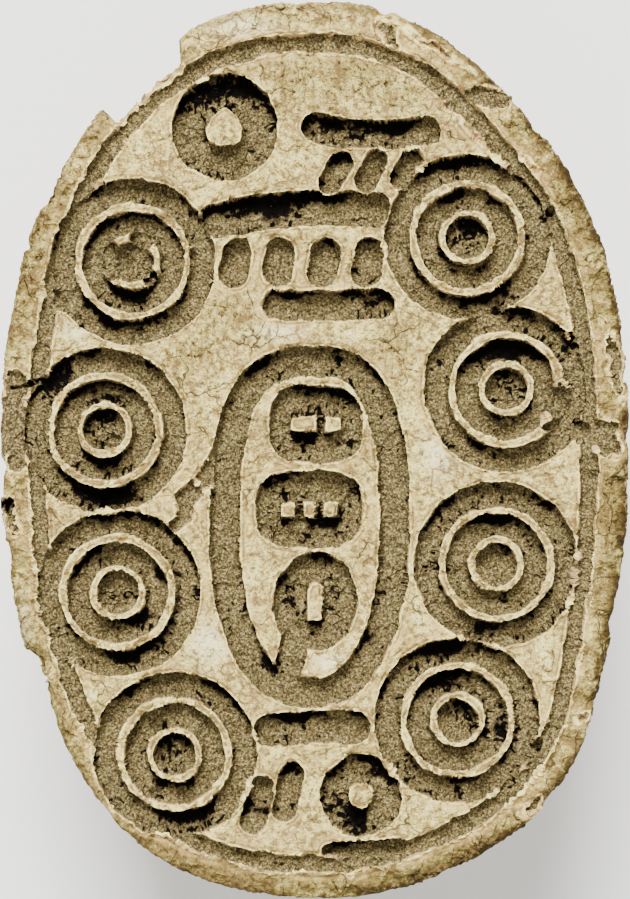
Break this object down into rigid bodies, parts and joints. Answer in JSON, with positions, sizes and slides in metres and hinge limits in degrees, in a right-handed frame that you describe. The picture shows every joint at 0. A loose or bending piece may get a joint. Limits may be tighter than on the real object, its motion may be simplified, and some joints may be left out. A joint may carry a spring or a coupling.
{
  "type": "scarab seal",
  "caption": "Carved stone seal: an oval plate engraved with drilled rings and rows of strokes, with a beetle carved on its other side and a small hole through its length.",
  "frame": {"origin": "under the middle of the oval, on the small worn flat of the beetle's back that it lies on", "axes": "+Y to the beetle's head and the top of the engraved design, +X to the design's right, +Z out of the engraved face"},
  "size_m": [0.0154, 0.022, 0.0092],
  "materials": {
    "stone": "worn cream stone with olive brown residue in the cuts"
  },
  "bodies": {
    "root": {"scarab": "stone"}
  },
  "joints": []
}
